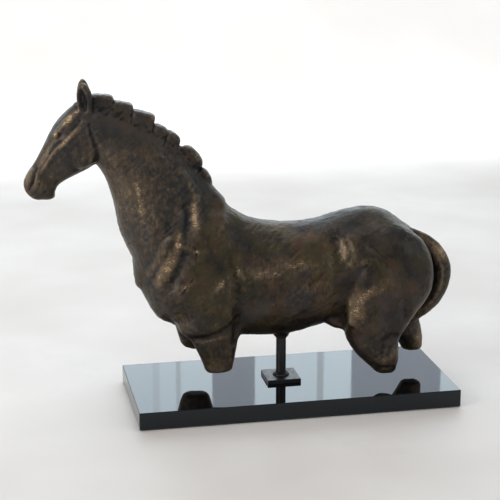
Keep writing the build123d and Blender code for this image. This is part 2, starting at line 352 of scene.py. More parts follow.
def ear_field(side):
    """A cupped leaf that opens forwards and outwards."""
    root, tip = np.array((-238.5, side * 9.5, 374.0)), np.array((-242.0, side * 16.5, 410.0))
    along = (tip - root) / np.linalg.norm(tip - root)
    opening = np.array((-0.52, side * 0.85, 0.0))
    opening -= along * (opening @ along)
    opening /= np.linalg.norm(opening)
    across = np.cross(along, opening)
    length = float(np.linalg.norm(tip - root))

    def field(x, y, z):
        dx, dy, dz = x - root[0], y - root[1], z - root[2]
        t, u, v = (dx * e[0] + dy * e[1] + dz * e[2] for e in (along, opening, across))
        t = t / length
        tc = np.clip(t, -0.3, 1.0)
        width = 9.6 * np.sqrt(np.clip(1 - ((tc - 0.34) / 0.67) ** 2, 0.012, 1))
        thick = width * 0.72
        f = np.sqrt((u / thick) ** 2 + (v / width) ** 2 + 1e-9)
        d = (f - 1) / np.sqrt((u / thick ** 2 / f) ** 2 + (v / width ** 2 / f) ** 2 + 1e-9)
        d = smooth_max(d, (t - 1.0) * length, 2.5)
        hollow = np.sqrt(((u - thick * 1.05) / (thick * 1.15)) ** 2 + (v / (width * 0.70)) ** 2
                         + ((t - 0.42) / 0.46) ** 2 + 1e-9) - 1
        return smooth_max(d, -hollow * width * 0.62, 1.0)

    return field


def flat_rope(rows, flatten):
    """A rope whose sections are narrower across the horse by `flatten`."""
    inner = rope([(x, y / flatten, z, r) for x, y, z, r in rows], 3)

    def field(x, y, z):
        return inner(x, y / flatten, z) * flatten ** 0.5

    return field


trunk = fan([(x, high, x, low, wide, egg) for x, low, high, wide, egg in TRUNK_SECTIONS], 2.1)
neck = fan(NECK_SECTIONS, 2.0)
head = fan(HEAD_SECTIONS, 2.3)
tail = flat_rope(TAIL_LINE, 0.82)
stumps = {
    "foreleg_left": (column(NEAR_FORE, -1, (55.3, 0.06), 3.5), (-160, -80, 26), (-40, 0, 185)),
    "foreleg_right": (column(OFF_FORE, 1, (53, -0.02), 6), (-160, 0, 26), (-50, 80, 185)),
    "hindleg_left": (column(NEAR_HIND, -1, (39, 0), 5), (60, -80, 26), (200, 0, 215)),
    "hindleg_right": (column(OFF_HIND, 1, (45.5, 0), 6), (60, 0, 26), (215, 80, 215)),
}


def sculpt():
    """The whole horse as one block of clay."""
    clay = Clay(CLAY_LOW, CLAY_HIGH, VOXEL)
    clay.add(trunk, 4, (-200, -80, 60), (210, 80, 290))
    for name, (shape, low, high) in stumps.items():
        clay.add(shape, 14 if "fore" in name else 10, low, high)
    clay.add(neck, 16, (-275, -70, 110), (-40, 70, 400))
    for s in (-1, 1):
        clay.work(s, FOREHAND)
        clay.work(s, QUARTERS)
    clay.add(head, 4, (-330, -40, 250), (-205, 40, 400))
    for s in (-1, 1):
        face(clay, s)
    clay.add(blob((-288.5, 0, 273), (10, 9.5, 6), -14), 4)  # chin
    clay.cut(rope([(-318, 0, 272, 0.8), (-308, 0, 267, 1.0), (-298, 0, 265, 0.8)]), 2)   # lips

    # the mane, the tail and the ears are modelled on afterwards
    clay.add(mane_field, 2.5)
    mane_creases(clay)
    clay.add(tail, 3.5, (135, -40, 60), (228, 60, 225))
    for s in (-1, 1):
        clay.work(s, TAIL_LOCKS)
    middle_lines(clay)
    clay.work(-1, NEAR_HOCK)
    for s in (-1, 1):
        clay.add(ear_field(s), 3.0, (-262, min(0, s * 40), 362), (-218, max(0, s * 40), 415))
    clay.add(skirt, 5, (-30, -30, 76), (30, 30, 110))
    return clay


# Steps of the modelling on each side: kind, blend, and then a muscle's middle, radii, tilt and
# yaw, or rows of x, z, radius and how far a ridge stands out or a groove goes in.
# Shoulder, breast and upper arm.
FOREHAND = [
    ("muscle", 18, (-112, 31, 203), (50, 18, 27), 52),  # shoulder blade
    ("muscle", 12, (-134, 36, 156), (27, 19, 33), 15, 20),  # point of shoulder
    ("muscle", 13, (-90, 38, 144), (33, 19, 36), 60),  # upper arm
    ("muscle", 8, (-100, 38, 113), (33, 19, 19), 12),  # breast over the arm
    ("muscle", 9, (-153, 18, 143), (15, 18, 30), 12),  # pectorals
    ("muscle", 12, (-166, 16, 192), (13, 15, 38), -18),  # strap of the neck
    # the straps that run from the neck over the shoulder, with valleys between
    ("ridge", 11, (-126, 298, 5, 0.2), (-116, 272, 6, 1), (-112, 250, 6, 1.8), (-116, 231, 5, 1.6),
     (-122, 212, 4, 0.4)),
    ("ridge", 9, (-136, 250, 6, 0), (-134, 233, 7, 1), (-136, 217, 8, 1.3), (-141, 202, 8.5, 1.7),
     (-148, 187, 8, 1.4), (-155, 171, 5, 0.2)),
    ("ridge", 7, (-144, 224, 3, 0.2), (-152, 209, 3.5, 0.7), (-160, 194, 3.5, 0.7),
     (-167, 180, 3, 0.2)),
    ("groove", 9, (-127, 206, 3, -0.6), (-132, 193, 4, 0.1), (-139, 178, 4.5, 0.2),
     (-145, 166, 3.5, -0.6)),
    # notches left at the point of the shoulder
    ("groove", 2.5, (-116, 175, 0.8, 0), (-123, 167, 1.6, 1), (-131, 157, 0.8, 0)),
    ("groove", 2, (-131, 224, 0.8, 0), (-134, 217, 1.8, 1.2), (-131, 211, 0.8, 0)),
    ("groove", 2, (-114, 214, 0.8, 0.2), (-112, 206, 1.4, 0.6), (-113, 200, 0.8, 0)),
    # behind the shoulder and the elbow
    ("groove", 8, (-70, 196, 3, -1.5), (-65, 178, 4, -0.4), (-61, 158, 5, 0.6),
     (-62, 139, 5.5, 1.6), (-60, 120, 5, 2.4), (-62, 103, 4, 2.4), (-64, 92, 3, 1.4)),
    # the breast's lower edge, over the forearm
    ("groove", 4.6, (-119, 96, 1.2, 0.2), (-108, 97.5, 2, 0.7), (-96, 100, 2.2, 0.3),
     (-82, 106, 2.2, -0.4), (-70, 113, 2, -0.8), (-62, 122, 1.2, -1.2)),
]
# Barrel, flank, haunch and thigh.
QUARTERS = [
    ("muscle", 16, (22, 34, 150), (60, 23, 36), 0),  # barrel
    ("muscle", 12, (86, 38, 198), (20, 17, 23), -20),  # point of hip
    ("muscle", 16, (130, 33, 170), (50, 26, 56), -8),  # thigh
    ("muscle", 11, (94, 40, 122), (21, 20, 30), -14),  # stifle
    ("muscle", 12, (160, 27, 168), (25, 22, 44), 10),  # buttock
    ("muscle", 6, (64, 30, 107.5), (17, 11, 8.5), -25),  # fold of the flank
    # flank
    ("groove", 10, (58, 216, 6, -2.5), (62, 192, 8, -1.5), (64, 166, 10, -1), (64, 142, 9, -1),
     (66, 122, 7, -1), (68, 106, 4, 0.5)),
    # between thigh and buttock
    ("groove", 9, (104, 210, 4, -2), (122, 190, 5, -1.6), (138, 166, 6, -1.4), (146, 140, 6, -1.4),
     (150, 116, 4, -1)),
    ("ridge", 8, (98, 176, 3, 0.2), (88, 154, 4.5, 1), (81, 132, 5, 1.4), (81, 112, 4, 1)),
    # dent at the hip
    ("groove", 5, (73, 213, 2, -0.4), (76, 204, 3, 0.3), (75, 193, 2, -0.4)),
]
# Jaw, face crest and brow.
FACE = [
    # throat latch: the crease behind the jaw, down to the jaw's corner
    ("groove", 3.2, (-235.5, 362, 1.2, 0.2), (-234, 350, 2.2, 0.8), (-230, 337, 2.8, 1.2),
     (-227.5, 325, 3, 1.3), (-229.5, 314, 2.4, 0.6)),
    # temple hollow, and the edge of the face crest below it
    ("groove", 4, (-246, 366, 1.5, 0), (-254, 358, 3, 0.4), (-264, 348, 3.4, 0.4),
     (-274, 338, 2.4, 0.2), (-283, 327, 1.6, 0)),
    ("ridge", 2.6, (-241, 364, 1.6, 1), (-253, 351, 1.9, 1.1), (-265, 340, 2, 1.1),
     (-275, 331, 2, 1.1), (-284, 318, 1.9, 1.1), (-294, 303, 1.6, 0.8)),
    # brow
    ("ridge", 4, (-251, 372, 2, 0.8), (-261, 364, 3, 1.4), (-270, 355.5, 2.6, 1.2),
     (-277, 347, 1.6, 0.6)),
]
# Eyelids, nostril and mouth.
MUZZLE = [
    ("ridge", 1.2, (-280, 343, 0.8, 0.3), (-278, 349, 1.2, 0.9), (-273, 352.5, 1.2, 1),
     (-267.5, 353, 0.8, 0.4)),
    ("ridge", 1.2, (-279.5, 342, 0.7, 0.3), (-274.5, 341.5, 1, 0.7), (-269, 346, 0.7, 0.4)),
    # nostril: a long slit that turns under the nose
    ("groove", 1.3, (-299, 309, 0.8, 0.3), (-302, 300, 1.5, 1.4), (-305, 291, 2, 2.2),
     (-309.5, 282, 1.5, 1.6), (-312, 277.5, 0.8, 0.4)),
    ("ridge", 2.5, (-305, 305, 1.2, 0.4), (-308.5, 297, 2, 1), (-311, 289, 1.8, 0.8)),
    # mouth and the fold above it
    ("groove", 1.2, (-309, 270.5, 0.8, 0.2), (-302, 271.5, 1.1, 0.9), (-295, 275, 1.3, 1.2),
     (-289, 280, 1.2, 1), (-285, 285, 0.7, 0.2)),
    ("groove", 2, (-292, 305, 0.8, 0), (-295.5, 294, 1.2, 0.5), (-299, 284, 1.1, 0.5),
     (-303, 277, 0.7, 0)),
]
# A rib down the side of the tail with a hollow in front of it.
TAIL_LOCKS = [
    ("groove", 4, (187, 180, 3, 0.4), (192, 162, 4.5, 1.2), (193, 144, 4.5, 1.2),
     (189, 126, 3.5, 0.8), (182, 112, 2, 0)),
    ("ridge", 1.8, (190, 191, 1.4, 0.5), (200, 176, 1.8, 1), (205, 160, 2, 1.2),
     (204, 142, 2, 1.2), (198, 124, 1.8, 1), (187, 108, 1.4, 0.5)),
]
# The near hind's point of hock, with the crease round its top.
NEAR_HOCK = [
    ("muscle", 3, (132, 41, 69), (10, 15, 19), -6),
    ("groove", 5, (139, 90, 2, 0.2), (130, 91, 3, 0.7), (122, 86, 3, 0.8), (119, 75, 2.5, 0.3),
     (120, 65, 2, -0.4)),
    ("groove", 3, (116, 52, 1.2, -0.2), (125, 50, 1.6, 0.4), (134, 51, 1.2, 0)),
]


def face(clay, s):
    """Cheek, brow, eye, face crest, nostril and lips of one side."""
    clay.add(blob((-247.5, s * 13.0, 335), (20.5, 9.5, 28), 22, 0, 2.6), 3)  # cheek
    clay.muscle(s, 5, (-298, 7.5, 291), (11, 7.0, 16), 30)  # muzzle
    clay.work(s, FACE)
    # eye: a shallow socket, then the ball, the upper lid and the lower lid
    clay.cut(blob(clay.on(s, -274, 347, 1.7), (6.5, 2.6, 4.4), 50, 0), 3.0)
    clay.add(blob(clay.on(s, -274.5, 347, -2.1), (4.6, 3.6, 3.3), 50, 0), 1.0)
    clay.work(s, MUZZLE)
    # facets where the jaw's underside was pared
    clay.cut(rope([(-256, s * 11, 293, 2.5), (-266, s * 10, 287.5, 2.5)]), 2.5)


def mane_creases(clay):
    """Creases down the sides where each lock of the mane ends over the next."""
    for x, z, tilt, half_length, half_height, _, power in TUFTS[:-1]:
        ct, st = cos_sin(tilt)
        for s in (-1, 1):
            rows = []
            for up in (0.5, 0.1, -0.3, -0.7, -1.1):
                at = (x + half_length * ct - up * half_height * st,
                      z + half_length * st + up * half_height * ct)
                if clay.covers(*at):
                    rows.append((*at, 1.1, (0.9 if power < 4 else 0.4) * (1 + min(up, 0) * 0.7)))
            clay.groove(s, 1.4, *rows)


def middle_lines(clay):
    """The breast bone and the furrow over the croup."""
    clay.cut(rope([(-186, 0, 186, 2), (-182, 0, 160, 4), (-174, 0, 134, 4.5),
                   (-159, 0, 110, 4)]), 9)
    clay.cut(rope([(92, 0, 249, 1.5), (116, 0, 249, 3), (140, 0, 240, 3.5), (160, 0, 225, 3)]), 5)


def skirt(x, y, z):
    """Clay drawn down round the boss in the belly, to just above the post's shoulder."""
    radius = 8.6 + 0.05 * np.clip(z - BOSS_LIP_Z, 0, 12) ** 2
    return smooth_max(np.sqrt(x * x + y * y) - radius, BOSS_LIP_Z + 1.2 - z, 2)


# ---- the surface
LATTICE = 32                       # random numbers along each side before they repeat


def grain(points, size, seed):
    """Smooth random bumps between -1 and 1; size is their spacing along x, y and z in mm."""
    lattice = np.random.default_rng(seed).uniform(-1, 1, (LATTICE, LATTICE, LATTICE))
    q = points / np.array(size, float)
    i = np.floor(q).astype(int)
    u = q - i
    u = u * u * (3 - 2 * u)
    total = np.zeros(len(points))
    for corner in product((0, 1), repeat=3):
        weight = np.where(corner, u, 1 - u).prod(1)
        total += weight * lattice[tuple(((i + corner) % LATTICE).T)]
    return total


def pellets(points, size, seed):
    """How far each point is from the edge of its pressed-on pellet of clay: 0 edge to about 1."""
    lattice = np.random.default_rng(seed).uniform(0.1, 0.9, (LATTICE, LATTICE, LATTICE, 3))
    q = points / np.array(size, float)
    base = np.floor(q).astype(int)
    near = np.full(len(points), FAR)
    second = np.full(len(points), FAR)
    for neighbour in product((-1, 0, 1), repeat=3):
        cell = base + neighbour
        spot = cell + lattice[tuple((cell % LATTICE).T)]
        d = np.sqrt(((q - spot) ** 2).sum(1))
        second = np.where(d < near, near, np.minimum(second, d))
        near = np.minimum(near, d)
    return second - near


def vertex_normals(points, faces):
    a, b, c = (points[faces[:, corner]] for corner in range(3))
    n = np.cross(b - a, c - a)
    out = np.zeros_like(points)
    for corner in range(3):
        for axis in range(3):
            out[:, axis] += np.bincount(faces[:, corner], n[:, axis], len(points))
    return out / np.maximum(np.linalg.norm(out, axis=1), 1e-9)[:, None]


def relax(values, edges, rounds):
    """Values drawn halfway to the mean of their neighbours' along the edges, some times over."""
    a, b = edges.T
    near = np.bincount(np.concatenate([a, b]), minlength=len(values))[:, None]
    for _ in range(rounds):
        total = np.stack([np.bincount(a, v[b], len(values)) + np.bincount(b, v[a], len(values))
                          for v in values.T], 1)
        values = values + 0.5 * (total / near - values)
    return values


def tool_marks(points):
    """Height of the modeller's marks in mm at each point."""
    x, y, z = points.T
    calm = np.clip((x + 262) / -30, 0, 1)                       # the muzzle is worked finer
    stump = np.clip((92 - z) / 30, 0, 1)
    broad = 0.9 * grain(points, (34, 30, 30), 3) + 0.55 * grain(points, (15, 14, 16), 4)
    leaning = points @ np.array([[0.8, 0, -0.6], [0, 1, 0], [0.6, 0, 0.8]])
    strokes = grain(leaning, (26, 7, 5), 5)
    strokes = 0.34 * (1 - np.abs(strokes) * 2) * np.clip(0.5 + grain(points, (40, 40, 40), 6), 0, 1)
    pads = 0.24 * np.clip(pellets(points, (14, 12, 12), 7) * 2.0, 0, 1)
    small = 0.13 * grain(points, (4.2, 4.2, 4.2), 8)
    hair = np.clip(1.6 - mane_field(x, y, z) / 1.5, 0, 1) * np.clip((z + 0.75 * x - 205) / 6, 0, 1)
    hair = hair * 0.36 * grain(leaning, (20, 3.0, 2.6), 9)
    ear = np.clip((z - 378) / 6, 0, 1) * np.clip((14 - np.abs(x + 241)) / 4, 0, 1)
    hair = (1 - ear) * hair + ear * 0.4 * grain(points, (2.4, 2.4, 14), 10)
    return (1 - 0.6 * calm) * (broad + strokes + pads) + (1 + 0.8 * stump) * small + hair


# Where the bronze is worn bright, and the eye's glint at (-275.5, 350), which is a painted
# highlight: x, z, half length, half height, tilt, strength.
RUBBED_AND_EYE_GLINT = [
    # the third patch in the next row, at the eye, is a painted highlight: the eye's glint
    (-259, 367, 10, 4, 48, 1), (-248, 375.5, 4, 3, 0, 1.1), (-275.5, 350, 3, 2, 50, 0.8),
    (-289, 323, 17, 5, 60, 0.42), (-263, 342, 22, 2, 48, 0.7), (-298, 292, 12, 3.5, 62, 0.38),
    (-310, 292, 4, 12, -30, 0.2), (-245, 328, 9, 12, 0, 0.15), (-215, 388, 10, 2, 0, 0.25),
    (-113, 248, 17, 4.5, 92, 1.1), (-133, 224, 11, 4, 85, 0.65), (-147, 188, 26, 9, 60, 0.72),
    (-157, 199, 18, 3, 58, 0.4), (-124, 166, 11, 2.5, 45, 1.1), (-84, 165, 11, 4.5, 52, 0.8),
    (-134, 217, 2.5, 3, 0, 1.3), (-112, 208, 2.5, 3.5, 90, 1.1), (-178, 270, 26, 4, 100, 0.4),
    (-160, 250, 22, 5, 105, 0.35), (-215, 262, 14, 5, 100, 0.45), (-132, 122, 20, 10, 15, 0.35),
    (-30, 178, 22, 7, -5, 0.65), (-62, 176, 4, 9, 0, 0.5), (8, 190, 26, 9, 0, 0.35),
    (30, 160, 26, 9, 10, 0.25), (69, 201, 11, 14, 0, 0.65), (62, 215, 7, 10, 10, 0.3),
    (98, 190, 22, 8, 15, 0.45), (86, 128, 11, 22, -10, 0.95), (99, 150, 16, 8, 30, 0.75),
    (122, 160, 18, 12, 40, 0.4), (112, 108, 14, 18, 0, 0.3), (204, 185, 14, 6, -50, 0.7),
    (205, 145, 3, 26, 0, 0.15), (-96, 95, 24, 3, 12, 0.45), (-88, 62, 12, 12, 0, 0.3),
    (-70, 66, 2.5, 10, 8, 0.6), (124, 62, 11, 9, 0, 0.4), (184, 66, 6, 12, 0, 0.6),
    (-190, 280, 60, 100, -35, 0.32), (-240, 394, 12, 18, 0, -0.9), (-205, 378, 34, 13, -15, -0.8),
    (-130, 328, 50, 10, -47, -0.7), (130, 220, 50, 30, 0, -0.25), (120, 130, 50, 60, 0, -0.25),
    (-10, 110, 60, 24, 0, -0.2), (-297, 272, 16, 7, 0, -0.4), (62, 104, 16, 9, -20, -1.1),
    (10, 186, 34, 5, 2, 0.25), (-185, 350, 30, 14, -20, -0.35),
]


def rubbing_and_eye_glint(points):
    """How bright each point has been worn, with the painted highlight in the eye, from 0 to about
    1.
    """
    x, _, z = points.T
    total = np.zeros(len(points))
    for cx, cz, half_length, half_height, tilt, strength in RUBBED_AND_EYE_GLINT:
        ct, st = cos_sin(tilt)
        u = ((x - cx) * ct + (z - cz) * st) / half_length
        v = ((z - cz) * ct - (x - cx) * st) / half_height
        total += strength * np.exp(-u * u - v * v)
    return total


def cast_surface():
    """Points, triangles, normals and relief of the whole horse."""
    clay = sculpt()
    points, quads = clay.mesh()
    faces = np.vstack([quads[:, [0, 1, 2]], quads[:, [0, 2, 3]]])
    if np.einsum("ij,ij->i", vertex_normals(points, faces), points - points.mean(0)).mean() < 0:
        faces = faces[:, ::-1]
    edges = np.vstack([quads[:, [k, (k + 1) % 4]] for k in range(4)])
    edges = np.unique(np.sort(edges, axis=1), axis=0)
    points = relax(points, edges, 2)
    points = points + vertex_normals(points, faces) * tool_marks(points)[:, None]
    normals = vertex_normals(points, faces)
    fine = np.einsum("ij,ij->i", points - relax(points, edges, 10), normals)
    wide = np.einsum("ij,ij->i", points - relax(points, edges, 90), normals)
    return np.column_stack([points, normals, fine, wide, rubbing_and_eye_glint(points)]), faces


def part_off(table, faces, free, level):
    """Cuts the free triangles along level = 0 and says which of all triangles are below it.

    table holds a row of values for each point, which new points on the cut share.
    """
    level = np.where(np.abs(level) < 1e-3, 1e-3, level)
    below = level < 0
    count = below[faces].sum(1)
    mixed = free & (count > 0) & (count < 3)
    inside = free & (count == 3)
    cut = faces[mixed]
    lone = np.where((below[cut].sum(1) == 1)[:, None], below[cut], ~below[cut]).argmax(1)
    row = np.arange(len(cut))
    a, b, c = cut[row, lone], cut[row, (lone + 1) % 3], cut[row, (lone + 2) % 3]
    pairs = np.sort(np.vstack([np.column_stack([a, b]), np.column_stack([a, c])]), axis=1)
    unique, back = np.unique(pairs, axis=0, return_inverse=True)
    back = back.reshape(-1)
    share = level[unique[:, 0]] / (level[unique[:, 0]] - level[unique[:, 1]])
    new = table[unique[:, 0]] * (1 - share[:, None]) + table[unique[:, 1]] * share[:, None]
    ab, ac = back[:len(cut)] + len(table), back[len(cut):] + len(table)
    lone_below = below[a]
    made = np.vstack([np.column_stack([a, ab, ac]), np.column_stack([ab, b, c]),
                      np.column_stack([ab, c, ac])])
    made_inside = np.concatenate([lone_below, ~lone_below, ~lone_below])
    kept = ~mixed
    return (np.vstack([table, new]), np.vstack([faces[kept], made]),
            np.concatenate([inside[kept], made_inside]),
            np.concatenate([free[kept], np.ones(len(made), bool)]))


def lids(faces, points, normals):
    """Triangles and points that close the open rims of a piece: a wall going in, and then a cap."""
    edges = np.vstack([faces[:, [k, (k + 1) % 3]] for k in range(3)])
    key = {tuple(e) for e in edges.tolist()}
    follow = {b: a for a, b in key if (b, a) not in key}
    made, added = [], []
    while follow:
        start, rim = next(iter(follow)), []
        at = start
        while at in follow:
            rim.append(at)
            at = follow.pop(at)
        if len(rim) < 3:
            continue
        depth = min(LID_DEPTH, LID_SHARE * np.ptp(points[rim], axis=0).max())
        ring = points[rim] - depth * normals[rim]
        for _ in range(12):
            ring = (np.roll(ring, 1, 0) + 2 * ring + np.roll(ring, -1, 0)) / 4
        first = len(points) + len(added)
        middle = first + len(rim)
        added += [*ring, ring.mean(0)]
        for i in range(len(rim)):
            k = (i + 1) % len(rim)
            made += [(rim[i], rim[k], first + k), (rim[i], first + k, first + i),
                     (first + i, first + k, middle)]
    return np.array(made, int).reshape(-1, 3), np.array(added).reshape(-1, 3)


def turned(rows):
    """Directions in the horse's frame as directions in the row's frame."""
    c, s = cos(HEADING), sin(HEADING)
    return rows @ np.array([[c, -s, 0], [s, c, 0], [0, 0, 1]])


def new_mesh(name, points, faces):
    mesh = bpy.data.meshes.new(name)
    mesh.from_pydata(points, [], faces)
    mesh.polygons.foreach_set("use_smooth", [True] * len(mesh.polygons))
    return mesh


def new_object(name, data):
    """A new object in the scene."""
    thing = bpy.data.objects.new(name, data)
    bpy.context.scene.collection.objects.link(thing)
    return thing


def casting(name, table, faces, node):
    """One casting's mesh object from its share of the horse's surface."""
    used, flat = np.unique(faces, return_inverse=True)
    faces = flat.reshape(-1, 3)
    table = table[used]
    caps, added = lids(faces, table[:, :3], table[:, 3:6])
    points = (turned(np.vstack([table[:, :3], added])) + (POST_X, 0, 0)) / 1000
    mesh = new_mesh(name, points.tolist(), np.vstack([faces, caps]).tolist())
    pad = np.zeros(len(added))
    for label, values in (("crest", table[:, 6]), ("form", table[:, 7]), ("rubbed_and_glint", table[:, 8])):
        layer = mesh.attributes.new(label, "FLOAT", "POINT")
        layer.data.foreach_set("value", np.concatenate([values, pad]).astype(np.float32))
    normals = np.vstack([turned(table[:, 3:6]), np.tile((0, 0, 1.0), (len(added), 1))])
    mesh.normals_split_custom_set_from_vertices(normals.tolist())
    mesh.update()
    thing = new_object(name, mesh)
    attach(thing, "horse")
    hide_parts(node)
    return thing


def horse():
    """Every casting, parted from one surface where the castings meet."""
    table, faces = cast_surface()
    free = np.ones(len(faces), bool)
    made = {}

    def take(name, level):
        nonlocal table, faces, free
        x, y, z = table[:, 0], table[:, 1], table[:, 2]
        table, faces, inside, free = part_off(table, faces, free, level(x, y, z))
        made[name] = faces[inside & free]
        faces, free = faces[~(inside & free)], free[~(inside & free)]

    for name, side in (("ear_left", -1), ("ear_right", 1)):
        take(name, lambda x, y, z: np.where(
            (side * y > 0) & (np.abs(x + 240) < 22) & (z > 368),
            ear_field(side)(x, y, z) - np.minimum(head(x, y, z), neck(x, y, z)) + 1.5, CLEAR))
    take("mane_casting", lambda x, y, z: np.maximum(
        mane_field(x, y, z) - neck(x, y, z) + 1.0, mane_field(x, y, z) - 5.0))
    take("tail_casting", lambda x, y, z: np.maximum(tail(x, y, z) - np.minimum(
        trunk(x, y, z), stumps["hindleg_right"][0](x, y, z)), tail(x, y, z) - 4.0))
    for name, (shape, low, high) in stumps.items():
        take(name, lambda x, y, z: np.where(
            (y * low[1] + y * high[1] > 0) & (z < high[2]) & (x > low[0]) & (x < high[0]),
            shape(x, y, z) - trunk(x, y, z) + 6, CLEAR))
    top, jaw = np.array((-238.0, 383.0)), np.array((-228.5, 309.0))
    across = np.array((jaw[1] - top[1], top[0] - jaw[0])) / np.linalg.norm(top - jaw)
    take("head_casting", lambda x, y, z: np.where(
        z > 250, -((x - top[0]) * across[0] + (z - top[1]) * across[1]), CLEAR))
    take("neck_casting", lambda x, y, z: neck(x, y, z) - trunk(x, y, z))
    made["torso_casting"] = faces
    return [casting(name.replace("_casting", "") + "_bronze", table, mine, name)
            for name, mine in made.items()]


# ---- materials
UMBER = (0.0205, 0.0162, 0.0132)
BROWN = (0.056, 0.0425, 0.0325)
WORN_PATINA = (0.156, 0.112, 0.069)
BARE_BRONZE_AND_EYE_GLINT = (0.66, 0.46, 0.27)
DIRT = (0.006, 0.005, 0.0045)
# Zones of the patina: spacing in mm, shift, noise where it begins and is full, most, colour.
PATINA_ZONES = [
    (58, 0.0, 0.44, 0.60, 0.85, (0.062, 0.049, 0.021)),
    (19, 15.0, 0.49, 0.63, 0.7, (0.082, 0.046, 0.026)),
    (42, 11.0, 0.50, 0.64, 0.7, (0.060, 0.050, 0.048)),
    (80, 21.0, 0.45, 0.63, 0.66, (0.0145, 0.0165, 0.0165)),
    (33, 31.0, 0.52, 0.68, 0.4, (0.0125, 0.0135, 0.0150)),
]
# The greyer tones of the neck and the muzzle: x in m where full and where it ends, most, colour.
FORWARD_ZONES = [
    (-0.20, -0.08, 0.35, (0.052, 0.051, 0.052)),
    (-0.29, -0.27, 0.5, (0.036, 0.031, 0.027)),
]
# How far each layer wears the patina thin, bares the metal, roughens it and stands out.
WEAR = {"crest": 1.1, "form": 0.14, "rubbed_and_glint": 1.15, "mottle": 0.95, "streaks": 1.2}
POLISH = {"rubbed_and_glint": 1.1, "grit": 2.0, "mottle": 2.1, "crest": 0.5}
ROUGHNESS = {"skin": 1.0, "dirt": 0.2, "bright": -0.08}
RELIEF = {"pores": 1.0, "streaks": 0.6, "scratches": 0.35}
LEAST_METALLIC, METALLIC_GAIN = 0.72, 0.25


class Graph:
    """A principled material with a few short ways to make nodes."""

    def __init__(self, name):
        self.material = bpy.data.materials.new(name)
        self.material.use_nodes = True
        self.tree = self.material.node_tree
        self.tree.nodes.clear()
        self.bsdf = self.node("ShaderNodeBsdfPrincipled")
        self.link(self.bsdf.outputs[0], self.node("ShaderNodeOutputMaterial").inputs[0])
        self.place = self.node("ShaderNodeTexCoord").outputs["Object"]

    def node(self, kind, **settings):
        node = self.tree.nodes.new(kind)
        for key, value in settings.items():
            setattr(node, key, value)
        return node

    def link(self, a, b):
        self.tree.links.new(a, b)

    def feed(self, value, socket):
        if isinstance(value, bpy.types.NodeSocket):
            self.link(value, socket)
        else:
            socket.default_value = value

    def attribute(self, name):
        return self.node("ShaderNodeAttribute", attribute_name=name).outputs["Fac"]

    def mapped(self, stretch=(1, 1, 1), turn=(0, 0, 0), shift=(0, 0, 0)):
        mapping = self.node("ShaderNodeMapping")
        self.link(self.place, mapping.inputs["Vector"])
        mapping.inputs["Scale"].default_value = stretch
        mapping.inputs["Rotation"].default_value = turn
        mapping.inputs["Location"].default_value = shift
        return mapping.outputs[0]

    def noise(self, spacing_mm, detail=3, rough=0.5, stretch=(1, 1, 1), turn=(0, 0, 0), shift=0.0):
        node = self.node("ShaderNodeTexNoise")
        self.link(self.mapped(stretch, turn, (shift, shift, shift)), node.inputs["Vector"])
        node.inputs["Scale"].default_value = 1000 / spacing_mm
        node.inputs["Detail"].default_value = detail
        node.inputs["Roughness"].default_value = rough
        return node.outputs["Fac"]

    def cells(self, spacing_mm):
        node = self.node("ShaderNodeTexVoronoi")
        self.link(self.place, node.inputs["Vector"])
        node.inputs["Scale"].default_value = 1000 / spacing_mm
        return node.outputs["Distance"]

    def math(self, kind, a, b=0.0, clamp=False):
        node = self.node("ShaderNodeMath", operation=kind, use_clamp=clamp)
        self.feed(a, node.inputs[0])
        self.feed(b, node.inputs[1])
        return node.outputs[0]

    def centred(self, value):
        return self.math("SUBTRACT", value, 0.5)

    def total(self, layers, weights):
        """The sum of the named layers, each times its weight."""
        result = None
        for name, weight in weights.items():
            part = self.math("MULTIPLY", layers[name], weight)
            result = part if result is None else self.math("ADD", result, part)
        return result

    def along(self, axis):
        """The place along one axis of the object, in metres."""
        split = self.node("ShaderNodeSeparateXYZ")
        self.link(self.place, split.inputs[0])
        return split.outputs[axis]

    def between(self, value, low, high, to_low=0.0, to_high=1.0):
        """Smoothly from to_low, at and below low, to to_high, at and above high."""
        node = self.node("ShaderNodeMapRange", interpolation_type="SMOOTHSTEP")
        for socket, number in zip(node.inputs, (value, low, high, to_low, to_high)):
            self.feed(number, socket)
        return node.outputs[0]

    def mix(self, share, a, b):
        node = self.node("ShaderNodeMix", data_type="RGBA")
        self.feed(share, node.inputs[0])
        for value, socket in ((a, node.inputs[6]), (b, node.inputs[7])):
            self.feed((*value, 1) if isinstance(value, tuple) else value, socket)
        return node.outputs[2]

    def bump(self, height, depth_mm, strength=1.0, under=None):
        node = self.node("ShaderNodeBump")
        self.feed(height, node.inputs["Height"])
        node.inputs["Distance"].default_value = depth_mm / 1000
        node.inputs["Strength"].default_value = strength
        if under is not None:
            self.link(under, node.inputs["Normal"])
        return node.outputs[0]

    def surface(self, **values):
        for name, value in values.items():
            value = (*value, 1) if isinstance(value, tuple) else value
            self.feed(value, self.bsdf.inputs[name.replace("_", " ")])
        return self.material


